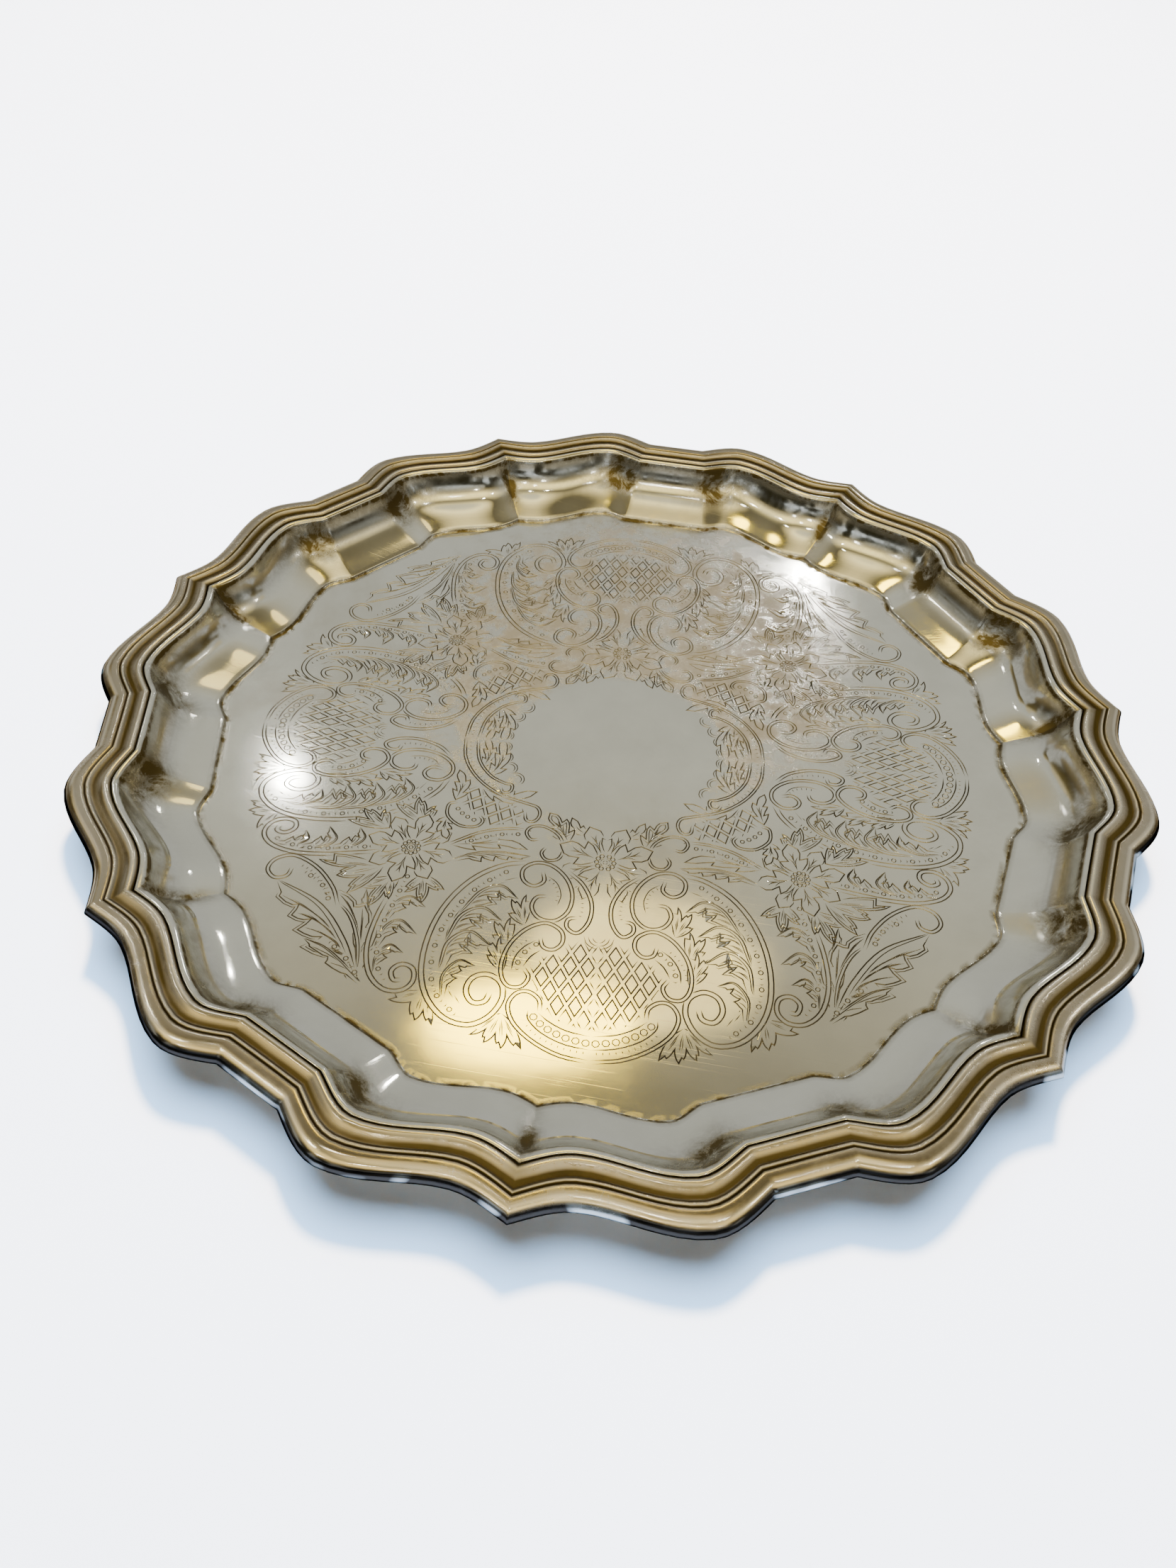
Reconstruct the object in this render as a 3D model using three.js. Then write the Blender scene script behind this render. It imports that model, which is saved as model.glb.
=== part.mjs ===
// A round serving tray with a seven-lobed, pie-crust rim, in sheet brass.
// Millimetres, +Z up. The origin is the centre of the tray's flat underside, and a rim cusp points along -Y.
//
// The tray is a pressed dish (flat floor, fluted wall, innermost rim band and hidden flange), one moulded
// border ring fixed over the flange, and a stiffening wire in the border's rolled lip. Every piece is a closed
// section carried round the same lobed outline.
import * as THREE from "three";

// Driving dimensions.
const RIM_RADIUS = 158; // centre to the tip of a rim cusp
const LOBES = 7;
const SHEET = 1.2; // thickness of the dish
const FLOOR_DEPTH = 14.7; // plane of the rim's outer edge down to the top of the floor
const WELL_INSET = 35.4; // cusp tip in to the edge of the floor, along the cusp
const WALL_INSET = 15.7; // cusp tip in to the top of the wall
const MOULDING_DRIFT = 1.3; // how much further in the middle mouldings run, away from the cusps
const GAP = 0.3; // between pieces that touch
const WIRE_RADIUS = 0.8;

const FLOOR_TOP = SHEET;
const RIM_PLANE = FLOOR_TOP + FLOOR_DEPTH;
const SECTOR = (2 * Math.PI) / LOBES;
const FIRST_CUSP = -Math.PI / 2;

// Half a lobe of the outline, from a cusp towards the middle of the next straight, at the rim and at the
// floor's edge. Each knot has its angle from the cusp in degrees, its radius as a share of RIM_RADIUS, and the
// outline's slope there as radius share per radian. The knots are the cusp, the dip beside it, the bulge and the
// straight's corner.
const RIM_KNOTS = [
  { angle: 0, radius: 1.0, slope: -0.5 },
  { angle: 5.3, radius: 0.97, slope: 0 },
  { angle: 16.3, radius: 1.0085, slope: 0 },
  { angle: 22.0, radius: 0.966, slope: -0.56 },
];
const WELL_KNOTS = [
  { angle: 0, radius: 0.776, slope: -0.36 },
  { angle: 4.2, radius: 0.762, slope: 0 },
  { angle: 14.8, radius: 0.79, slope: 0 },
  { angle: 18.8, radius: 0.766, slope: -0.22 },
];
const STEPS_PER_SPAN = [3, 3, 3, 1]; // cusp to dip, dip to bulge, bulge to corner, corner to mid-straight
const STRAIGHT = STEPS_PER_SPAN.length - 1;

// Sections as [inset from the rim, height above the rim plane]. The top side runs in towards the centre.
const FLANGE_TOP = -1.3;
const DISH_TOP = [
  [5.0, FLANGE_TOP], // flange's outer edge, under the border
  [11.6, FLANGE_TOP],
  [13.15, 0.3], // shoulder that the border butts against
  [WALL_INSET, -0.45],
  [16.6, -2.4],
  [18.2, -5.0],
  [20.6, -7.9],
  [23.6, -10.0],
  [27.0, -11.4],
  [34.4, -13.8],
  [WELL_INSET, -FLOOR_DEPTH], // small step down to the floor
];
const BORDER_UNDER = FLANGE_TOP + GAP;
const BORDER_SECTION = [
  [0, -2.0], // widest
  [0.2, -1.1],
  [0.8, -0.2], // rounded outer corner
  [1.8, 0.55],
  [3.2, 0.95],
  [4.8, 1.0], // outer band, nearly flat
  [5.5, 0.45], // groove
  [6.15, 1.0], // fillet
  [7.2, 0.3], // cove, deepest beside the fillet
  [8.8, 0.5],
  [10.9, 1.15], // ridge
  [11.7, 1.1],
  [12.75, 0.3], // inner edge, feathered against the dish's shoulder
  [11.3, BORDER_UNDER],
  [1.6, BORDER_UNDER],
  [1.5, -2.3], // inside of the rolled lip
  [2.1, -3.1],
  [3.5, -3.2],
  [3.6, -3.8], // turned-in edge
  [2.2, -4.0], // bottom of the lip
  [0.95, -3.5],
  [0.25, -2.8],
];
const WIRE_CENTRE = [2.65, -2.05];
const WIRE_SIDES = 6;

const { lerp, degToRad } = THREE.MathUtils;

// A knot of the outline, a given share of the way from the rim (0) to the floor's edge (1).
function knotAt(index, share) {
  const [rim, well] = [RIM_KNOTS[index], WELL_KNOTS[index]];
  return {
    angle: degToRad(lerp(rim.angle, well.angle, share)),
    radius: lerp(rim.radius, well.radius, share) * RIM_RADIUS,
    slope: lerp(rim.slope, well.slope, share) * RIM_RADIUS,
  };
}

// A point of half a lobe: u counts the spans, 0 at the cusp and STRAIGHT + 1 at the middle of the straight.
function halfLobe(u, share) {
  const span = Math.min(Math.floor(u), STRAIGHT);
  const t = u - span;
  const from = knotAt(span, share);
  if (span === STRAIGHT) {
    const middle = SECTOR / 2;
    const angle = lerp(from.angle, middle, t);
    return { angle, radius: (from.radius * Math.cos(middle - from.angle)) / Math.cos(middle - angle) };
  }
  const to = knotAt(span + 1, share);
  const width = to.angle - from.angle;
  const radius =
    (2 * t ** 3 - 3 * t ** 2 + 1) * from.radius +
    (t ** 3 - 2 * t ** 2 + t) * width * from.slope +
    (3 * t ** 2 - 2 * t ** 3) * to.radius +
    (t ** 3 - t ** 2) * width * to.slope;
  return { angle: from.angle + t * width, radius };
}

// The mouldings keep an even distance from the edge, so away from the cusps the middle ones lie further in.
function drift(u, inset) {
  if (inset >= WALL_INSET) return 0;
  const fromCusp = Math.sin((Math.PI / 2) * (u / (STRAIGHT + 1)));
  return MOULDING_DRIFT * fromCusp * Math.sin((Math.PI * inset) / WALL_INSET);
}

// The stations of half a lobe, from a cusp up to but not including the middle of the straight.
const HALF = STEPS_PER_SPAN.flatMap((steps, span) =>
  Array.from({ length: steps }, (_, i) => span + i / steps),
);
const LOBE_STEPS = 2 * HALF.length;
const STATIONS = LOBES * LOBE_STEPS;

// A point of the tray at a station round the outline, an inset from the rim and a height above the rim plane.
function place(station, inset, height) {
  const lobe = Math.floor(station / LOBE_STEPS);
  const step = station % LOBE_STEPS;
  const secondHalf = step > HALF.length;
  const u = HALF[secondHalf ? LOBE_STEPS - step : step] ?? STRAIGHT + 1;
  const { angle, radius } = halfLobe(u, (inset + drift(u, inset)) / WELL_INSET);
  const around = FIRST_CUSP + lobe * SECTOR + (secondHalf ? SECTOR - angle : angle);
  return [radius * Math.cos(around), radius * Math.sin(around), RIM_PLANE + height];
}

function meshGeometry(vertices, faces) {
  const geometry = new THREE.BufferGeometry();
  geometry.setAttribute("position", new THREE.Float32BufferAttribute(vertices.flat(), 3));
  geometry.setIndex(faces.flat());
  geometry.computeVertexNormals();
  return geometry;
}

// The four-sided strips between each station and the next, along a section's points from first to last.
function strips(rows, first, last) {
  const faces = [];
  for (let station = 0; station < STATIONS; station++) {
    const [here, next] = [station * rows, ((station + 1) % STATIONS) * rows];
    for (let row = first; row < last; row++) {
      const after = (row + 1) % rows;
      faces.push([here + row, next + row, next + after], [here + row, next + after, here + after]);
    }
  }
  return faces;
}

function carriedRound(section) {
  const stations = Array.from({ length: STATIONS }, (_, station) => station);
  return stations.flatMap((station) => section.map((point) => place(station, ...point)));
}

// A ring: a closed section carried all the way round the outline.
function ring(section) {
  return meshGeometry(carriedRound(section), strips(section.length, 0, section.length));
}

// A section moved under itself by the sheet's thickness, along its own normals.
function underside(section) {
  return section.map(([inset, height], i) => {
    const [before, after] = [section[Math.max(i - 1, 0)], section[Math.min(i + 1, section.length - 1)]];
    const along = new THREE.Vector2(after[0] - before[0], after[1] - before[1]).normalize();
    return [inset + along.y * SHEET, height - along.x * SHEET];
  });
}

// The dish: its top side in to the floor, then back out under the sheet. Both floors close on the centre.
function dish() {
  const under = underside(DISH_TOP);
  under[under.length - 1] = [WELL_INSET + SHEET / 2, -RIM_PLANE]; // the underside is flat
  const section = [...DISH_TOP, ...under.reverse()];
  const rows = section.length;
  const topEdge = DISH_TOP.length - 1;
  const vertices = [...carriedRound(section), [0, 0, FLOOR_TOP], [0, 0, 0]];
  const [topCentre, underCentre] = [STATIONS * rows, STATIONS * rows + 1];
  const faces = [...strips(rows, 0, topEdge), ...strips(rows, topEdge + 1, rows)];
  for (let station = 0; station < STATIONS; station++) {
    const [here, next] = [station * rows + topEdge, ((station + 1) % STATIONS) * rows + topEdge];
    faces.push([here, next, topCentre], [next + 1, here + 1, underCentre]);
  }
  return meshGeometry(vertices, faces);
}

function wireSection() {
  return Array.from({ length: WIRE_SIDES }, (_, side) => {
    const turn = (side / WIRE_SIDES) * 2 * Math.PI;
    return [WIRE_CENTRE[0] - WIRE_RADIUS * Math.cos(turn), WIRE_CENTRE[1] + WIRE_RADIUS * Math.sin(turn)];
  });
}

const tray = new THREE.Group();

function add(name, geometry, color, roughness) {
  const mesh = new THREE.Mesh(geometry, new THREE.MeshStandardMaterial({ color, roughness, metalness: 1 }));
  mesh.name = name;
  tray.add(mesh);
}

add("dish", dish(), 0xc9c1ab, 0.22);
add("border", ring(BORDER_SECTION), 0xc4b48c, 0.2);
add("edge_wire", ring(wireSection()), 0xb08d4a, 0.45);

export default tray;
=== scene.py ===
"""A round serving tray with a lobed, moulded rim and a chased floor, in worn silver plate over brass."""

import math

import bmesh
import bpy
import numpy as np
from mathutils import Euler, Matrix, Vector
from mathutils.geometry import delaunay_2d_cdt
from mathutils.kdtree import KDTree


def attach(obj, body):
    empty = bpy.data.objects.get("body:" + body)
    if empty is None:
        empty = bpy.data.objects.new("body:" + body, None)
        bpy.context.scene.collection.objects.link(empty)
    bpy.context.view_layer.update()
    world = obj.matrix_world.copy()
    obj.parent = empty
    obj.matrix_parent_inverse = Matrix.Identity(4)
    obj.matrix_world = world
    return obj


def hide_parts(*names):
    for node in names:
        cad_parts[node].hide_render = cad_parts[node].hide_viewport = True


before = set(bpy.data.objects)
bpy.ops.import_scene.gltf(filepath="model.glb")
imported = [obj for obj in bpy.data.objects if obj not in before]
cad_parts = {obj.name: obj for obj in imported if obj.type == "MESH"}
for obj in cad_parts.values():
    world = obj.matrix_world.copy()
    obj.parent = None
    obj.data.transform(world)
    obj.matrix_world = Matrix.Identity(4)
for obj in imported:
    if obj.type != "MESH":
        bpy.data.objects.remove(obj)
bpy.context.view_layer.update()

MM = 0.001

# The design's sizes, in millimetres. The outline and sections are the CAD model's, followed more finely here.
RIM_RADIUS = 158.0
LOBES = 7
SHEET = 1.2
FLOOR_TOP = SHEET
RIM_PLANE = FLOOR_TOP + 14.7
WELL_INSET = 35.4
WALL_INSET = 15.7
MOULDING_DRIFT = 1.3
SECTOR = 2 * math.pi / LOBES
FIRST_CUSP = -math.pi / 2

# Knots of half a lobe at the rim and at the floor's edge: degrees from the cusp, radius and slope as a share
# of RIM_RADIUS. They are the cusp, the dip, the bulge and the corner where the straight starts.
RIM_KNOTS = [(0, 1.0, -0.5), (5.3, 0.97, 0), (16.3, 1.0085, 0), (22.0, 0.966, -0.56)]
WELL_KNOTS = [(0, 0.776, -0.36), (4.2, 0.762, 0), (14.8, 0.79, 0), (18.8, 0.766, -0.22)]
STRAIGHT = 3
HALF_LOBE_STEPS = [9, 8, 9, 4]  # mesh stations from each knot to the next


# --- The lobed outline ---


def mix(a, b, share):
    return a + (b - a) * share


def knot(index, share):
    """Angle, radius and slope of a knot, share of the way from the rim (0) to the floor's edge (1)."""
    rim, well = RIM_KNOTS[index], WELL_KNOTS[index]
    radius, slope = (mix(rim[i], well[i], share) * RIM_RADIUS for i in (1, 2))
    return np.radians(mix(rim[0], well[0], share)), radius, slope


def half_lobe(u, inset):
    """Angle from the cusp and radius of half a lobe, where u counts its spans from the cusp."""
    in_border = inset < WALL_INSET
    from_cusp = np.sin(math.pi / 2 * u / (STRAIGHT + 1))
    drift = MOULDING_DRIFT * from_cusp * math.sin(math.pi * inset / WALL_INSET)
    share = (inset + drift * in_border) / WELL_INSET
    angle, radius = np.zeros_like(u), np.zeros_like(u)
    for span in range(STRAIGHT + 1):
        here = (u >= span) & (u <= span + 1)
        t = u[here] - span
        a0, r0, m0 = knot(span, share[here])
        if span == STRAIGHT:
            middle = SECTOR / 2
            a = mix(a0, middle, t)
            r = r0 * np.cos(middle - a0) / np.cos(middle - a)
        else:
            a1, r1, m1 = knot(span + 1, share[here])
            width = a1 - a0
            a = a0 + t * width
            r = (2 * t**3 - 3 * t**2 + 1) * r0 + (t**3 - 2 * t**2 + t) * width * m0
            r += (3 * t**2 - 2 * t**3) * r1 + (t**3 - t**2) * width * m1
        angle[here], radius[here] = a, r
    return angle, radius


def half_lobe_stations():
    """u along half a lobe, closer together beside the cusp and the corner, where it turns sharply."""
    tightness = 1.6
    parts = []
    for span, steps in enumerate(HALF_LOBE_STEPS):
        t = np.arange(steps) / steps
        if span in (0, STRAIGHT):
            t = t**tightness
        elif span == STRAIGHT - 1:
            t = 1 - (1 - t) ** tightness
        parts.append(span + t)
    return np.concatenate(parts + [[STRAIGHT + 1.0]])


HALF_U = half_lobe_stations()
STATION_U = np.tile(np.concatenate([HALF_U, HALF_U[-2:0:-1]]), LOBES)
STATIONS = len(STATION_U)


def ring(inset, height):
    """The points round the tray at an inset from the rim and a height above the rim plane."""
    angle, radius = half_lobe(HALF_U, inset)
    back = slice(-2, 0, -1)
    lobe_angle = np.concatenate([angle, SECTOR - angle[back]])
    around = (FIRST_CUSP + np.arange(LOBES)[:, None] * SECTOR + lobe_angle).ravel()
    radius = np.tile(np.concatenate([radius, radius[back]]), LOBES)
    level = np.full(STATIONS, RIM_PLANE + height)
    return np.stack([radius * np.cos(around), radius * np.sin(around), level], 1)


# --- Sections: [inset from the rim, height above the rim plane] ---


def smooth(points, steps):
    """A Catmull-Rom curve through the points, with that many steps between each two."""
    p = np.array(points, float)
    p = np.vstack([2 * p[0] - p[1], p, 2 * p[-1] - p[-2]])
    t = (np.arange(steps) / steps)[:, None]
    parts = []
    for a, b, c, d in zip(p, p[1:], p[2:], p[3:]):
        curve = 2 * b + (c - a) * t
        curve = curve + (2 * a - 5 * b + 4 * c - d) * t**2
        parts.append(0.5 * (curve + (3 * b - a - 3 * c + d) * t**3))
    return np.vstack(parts + [p[-2:-1]])


def join(*curves):
    return np.vstack([c[:-1] for c in curves[:-1]] + [curves[-1]])


def unit(rows):
    return rows / np.maximum(np.linalg.norm(rows, axis=1, keepdims=True), 1e-9)


def left_of(along):
    return np.stack([-along[:, 1], along[:, 0]], 1)


def underside(section):
    """The section moved under itself by the sheet's thickness, along its normals."""
    return section - left_of(unit(np.gradient(section, axis=0))) * SHEET


FLANGE_TOP = -1.3
BORDER_UNDER = FLANGE_TOP + 0.3
FLANGE = [(5.0, FLANGE_TOP), (11.6, FLANGE_TOP), (13.1, 0.2)]
INNER_BAND = [(13.1, 0.2), (13.4, 0.46), (14.3, 0.38), (15.2, 0.05), (WALL_INSET, -0.45)]
WALL = [(WALL_INSET, -0.45), (16.2, -1.5), (17.0, -3.2), (18.3, -5.3), (20.3, -7.6), (22.6, -9.4),
        (25.0, -10.6), (28.0, -11.7), (31.4, -12.8), (34.0, -13.65)]
FLOOR_STEP = [(34.0, -13.65), (34.4, -13.9), (34.8, -14.45), (WELL_INSET, FLOOR_TOP - RIM_PLANE)]

OUTER_BAND = [(2.2, -4.0), (0.95, -3.5), (0.25, -2.8), (0, -2.0), (0.2, -1.1), (0.8, -0.2), (1.8, 0.55),
              (3.2, 0.95), (4.5, 1.0), (5.15, 0.85), (5.5, 0.5)]
FILLET = [(5.5, 0.5), (5.75, 0.85), (6.15, 1.0), (6.55, 0.8)]
COVE = [(6.55, 0.8), (7.2, 0.3), (7.9, 0.28), (8.8, 0.5), (10.0, 0.95), (10.9, 1.15), (11.7, 1.1),
        (12.4, 0.75), (12.75, 0.3)]
LIP = [(12.75, 0.3), (11.3, BORDER_UNDER), (1.6, BORDER_UNDER), (1.5, -2.3), (2.1, -3.1), (3.5, -3.2),
       (3.6, -3.8)]

WIRE_CENTRE = (2.65, -2.05)
WIRE_RADIUS = 0.8
WIRE_SIDES = 12


# --- Meshes ---


def strip_faces(rows, first, last):
    """Quads between each station and the next, over a section's rows from first to last."""
    here = np.arange(STATIONS)[:, None]
    after = (here + 1) % STATIONS
    row = np.arange(first, last)[None] * STATIONS
    up = (row + STATIONS) % (rows * STATIONS)
    return np.stack([row + here, row + after, up + after, up + here], -1)


def carried_round(section):
    return np.vstack([ring(inset, height) for inset, height in section])


def new_object(name, data):
    thing = bpy.data.objects.new(name, data)
    bpy.context.scene.collection.objects.link(thing)
    return thing


def new_piece(name, vertices, faces):
    """A mesh object, from vertices in millimetres."""
    mesh = bpy.data.meshes.new(name)
    mesh.from_pydata((vertices * MM).tolist(), [], faces)
    return new_object(name, mesh)


def ring_piece(name, section, sharp_angle):
    """A closed section carried all the way round, smooth but for edges sharper than an angle in degrees."""
    faces = strip_faces(len(section), 0, len(section)).reshape(-1, 4).tolist()
    piece = new_piece(name, carried_round(section), faces)
    piece.data.shade_smooth()
    piece.data.set_sharp_from_angle(angle=math.radians(sharp_angle))
    return piece


def weld(mesh):
    """Joins the floor to the wall where their edges meet."""
    bm = bmesh.new()
    bm.from_mesh(mesh)
    bmesh.ops.remove_doubles(bm, verts=bm.verts, dist=1e-6)
    bm.to_mesh(mesh)
    bm.free()


# --- What is painted on the meshes ---


def paint(piece, name, values):
    """A number for each vertex, which the piece's material reads by name."""
    layer = piece.data.attributes.new(name, "FLOAT", "POINT")
    layer.data.foreach_set("value", np.asarray(values, np.float32))


def bump(x, centre, width):
    """1 at the centre, falling smoothly to 0 a width or two away."""
    return np.exp(-(((x - centre) / width) ** 2))


def bumps(x, *places):
    return sum(bump(x, centre, width) for centre, width in places)


def tarnish_and_shade_on(section):
    """How much tarnish and painted shade lie at each point of a carried-round section. Grooves, recesses and
    creases are darkened partly by the tarnish such hollows hold and partly as painted shade; the cove and the
    band of upper wall are painted shade alone.
    """
    inset = np.repeat(section[:, 0], STATIONS)
    u = np.tile(STATION_U, len(section))
    # painted shade: the dark band along the upper wall
    wall = bump(inset, 18.0, 3.2)
    recess = bump(inset, 20.5, 5.5) * bump(u, 2.55, 0.6)
    crease = bump(u, 0, 0.22) * bump(inset, 21.0, 9.0)
    lines = bumps(inset, (5.5, 0.45), (12.85, 0.45), (15.75, 0.4), (35.0, 0.9))
    # painted shade: the cove's dark reflection
    cove = bump(inset, 7.9, 1.2)
    return np.clip(recess + 1.1 * crease + 0.95 * lines + 0.95 * cove + 0.32 * wall, 0, 1)


def skirt_shade(section):
    """How much painted shade darkens the turned-down outer side at each point of the border's carried-round
    section.
    """
    on_outer_side = section[:, 0] < 4
    below = np.clip((0.45 - section[:, 1]) / 0.6, 0, 1) * on_outer_side
    return np.repeat(below, STATIONS)


def crest_on(section):
    """Where the border's crests are painted lighter, as metal polished by rubbing and as a painted highlight,
    at each point of its carried-round section.
    """
    inset = np.repeat(section[:, 0], STATIONS)
    above = np.repeat(section[:, 1] > 0, STATIONS)
    return above * bumps(inset, (2.4, 0.4), (6.15, 0.4), (11.4, 0.5))


# --- Materials ---

SILVER = (0.745, 0.74, 0.665)
BRASS = (0.43, 0.375, 0.275)
FILM = (0.5, 0.465, 0.42)  # the hazy film
CREST = (0.8, 0.73, 0.58)  # the border's crests, polished by rubbing and painted lighter as a highlight
# Tarnish in hollows, and the same colour used for painted shade in the cove and on the upper wall
TARNISH_AND_SHADE = (0.095, 0.07, 0.024)
PAINTED_SKIRT_SHADE = (0.022, 0.023, 0.025)  # painted shade: the border's outer side made dark, for the dark room it mirrors
PAINTED_SKIRT_HIGHLIGHT = (0.24, 0.29, 0.34)  # painted highlights: short bright patches on that side
GROOVE_DARK, GROOVE_LIGHT = (0.085, 0.07, 0.045), (0.31, 0.28, 0.21)
TABLE_DARK, TABLE_LIGHT = (0.86, 0.86, 0.87), (0.89, 0.89, 0.9)

HAZE_CENTRE = (0.0, 0.045, 0.0)  # in metres, as are the two radii of the plain centre's soft edge
PLAIN_CENTRE = (0.031, 0.037)
SCRATCH_RUNS = ((0.35, 1.0), (1.3, 0.8), (2.4, 0.9))  # each direction, in radians, and its strength
SCRATCH_STRETCH = (26, 2600, 200)

# What each kind of wear adds to the metal's roughness.
FLOOR_WEAR = 0.022
HAZE_ROUGHNESS = 0.3
SCRATCH_ROUGHNESS = 0.03
DIRT_ROUGHNESS = 0.35


class NodeTree:
    """Short ways to add nodes. An input is a number, a tuple or another node's output."""

    def __init__(self, tree):
        self.nodes = tree.nodes
        self.links = tree.links

    def put(self, socket, value):
        if isinstance(value, bpy.types.NodeSocket):
            self.links.new(value, socket)
        elif socket.type == "RGBA":
            socket.default_value = (*value, 1)
        else:
            socket.default_value = value

    def add(self, kind, inputs=(), **settings):
        node = self.nodes.new("ShaderNode" + kind)
        for name, value in settings.items():
            setattr(node, name, value)
        for key, value in dict(inputs).items():
            self.put(node.inputs[key], value)
        return node

    def calculate(self, operation, *values, clamp=False):
        return self.add("Math", enumerate(values), operation=operation, use_clamp=clamp).outputs[0]

    def times(self, a, b, clamp=False):
        return self.calculate("MULTIPLY", a, b, clamp=clamp)

    def mixed(self, factor, a, b, blend_type="MIX"):
        return self.add("Mix", {0: factor, 6: a, 7: b}, data_type="RGBA", blend_type=blend_type).outputs[2]

    def noise(self, place, scale, detail=4.0, roughness=0.55, distortion=0.0):
        inputs = {"Vector": place, "Scale": scale, "Detail": detail}
        inputs |= {"Roughness": roughness, "Distortion": distortion}
        return self.add("TexNoise", inputs).outputs["Fac"]

    def ramp(self, source, *stops):
        """A colour ramp, with each stop's place and its colour or grey value."""
        node = self.add("ValToRGB", {0: source})
        elements = node.color_ramp.elements
        elements.remove(elements[1])
        for i, (place, colour) in enumerate(stops):
            element = elements.new(place) if i else elements[0]
            element.position = place
            element.color = (*colour, 1) if isinstance(colour, tuple) else (colour,) * 3 + (1,)
        return node.outputs[0]

    def patches(self, place, noise, *stops):
        """Noise of a scale, detail and so on, seen through a colour ramp."""
        return self.ramp(self.noise(place, *noise), *stops)

    def painted(self, name):
        return self.add("Attribute", attribute_name=name).outputs["Fac"]


def new_material(name):
    """A material, its node tree, its principled shader and the place on the object."""
    surface = bpy.data.materials.new(name)
    surface.use_nodes = True
    tree = NodeTree(surface.node_tree)
    return surface, tree, tree.nodes["Principled BSDF"], tree.add("TexCoord").outputs["Object"]


def worn_plate(tree, place, brass_share):
    """Silver worn through to brass in patches, and slightly mottled."""
    earlier = brass_share * 0.45
    worn = tree.patches(place, (9, 6, 0.6, 0.4), (0.62 - earlier, 0), (0.92 - earlier, 1))
    mottle = tree.patches(place, (55, 5), (0.3, 0.9), (0.7, 1.0))
    return tree.mixed(1, tree.mixed(worn, SILVER, BRASS), mottle, "MULTIPLY")


def fine_scratches(tree, place):
    """1 on the hair-thin scratches that cloths leave, and 0 between them."""
    scratch = 0.0
    for turn, strength in SCRATCH_RUNS:
        inputs = {"Vector": place, "Scale": SCRATCH_STRETCH, "Rotation": (0, 0, turn)}
        stretched = tree.add("Mapping", inputs).outputs[0]
        hairs = tree.patches(stretched, (1.0, 2), (0.66, 0), (0.76, strength))
        scratch = tree.calculate("MAXIMUM", scratch, hairs)
    return scratch


def hazy_film(tree, place, haze_centre):
    """How thick the film lies: in clouds and, with a centre, in a patch that spares the plain centre."""
    film = tree.patches(place, (14, 6, 0.65, 0.6), (0.38, 0), (0.72, 1))
    if haze_centre is not None:
        away = tree.add("VectorMath", {0: place, 1: haze_centre}, operation="DISTANCE").outputs["Value"]
        ragged = tree.calculate("ADD", away, tree.times(tree.noise(place, 28, 6, 0.7), 0.06))
        patch = tree.ramp(ragged, (0.086, 1.0), (0.112, 0))
        radius = tree.add("VectorMath", {0: place}, operation="LENGTH").outputs["Value"]
        spared = tree.ramp(radius, (PLAIN_CENTRE[0], 0), (PLAIN_CENTRE[1], 1))
        patch = tree.times(tree.times(patch, spared), 2.0)
        film = tree.calculate("MAXIMUM", tree.times(film, 0.14), patch)
    specks = tree.patches(place, (150, 5, 0.75), (0.4, 0.12), (0.6, 0.95))
    return tree.times(film, specks)


def wear_tarnish_and_painted_light(tree, place, metal, tarnish_and_shade_noise, least_kept):
    """The metal with its crests lightened, its tarnish and painted shade, and its outer side painted dark
    with painted highlights; and how much tarnish and shade there is.
    """
    # Crests painted lighter: polish from rubbing, and a painted highlight
    metal = tree.mixed(tree.painted("crest"), metal, CREST)
    breakup = tree.patches(place, tarnish_and_shade_noise, (0.36, least_kept), (0.62, 1.4))
    # Tarnish, with painted shade in the cove and on the upper wall, broken up by noise
    dirt_and_shade = tree.times(tree.painted("tarnish_and_shade"), breakup, clamp=True)
    metal = tree.mixed(dirt_and_shade, metal, TARNISH_AND_SHADE)
    # The outer side: painted shade with short painted highlights
    skirt_shade_and_highlights = tree.patches(place, (45, 2), (0.57, PAINTED_SKIRT_SHADE), (0.63, PAINTED_SKIRT_HIGHLIGHT))
    return tree.mixed(tree.painted("shade"), metal, skirt_shade_and_highlights), dirt_and_shade


def floor_wear(tree, place):
    """The flat floor is a little rougher than the wall, from cloths and use."""
    span = 20  # the ramp's whole length, in millimetres of height
    level = tree.times(tree.add("SeparateXYZ", {0: place}).outputs["Z"], 1 / (span * MM))
    return tree.ramp(level, (FLOOR_TOP / span + 0.01, FLOOR_WEAR), (FLOOR_TOP / span + 0.06, 0))


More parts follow.
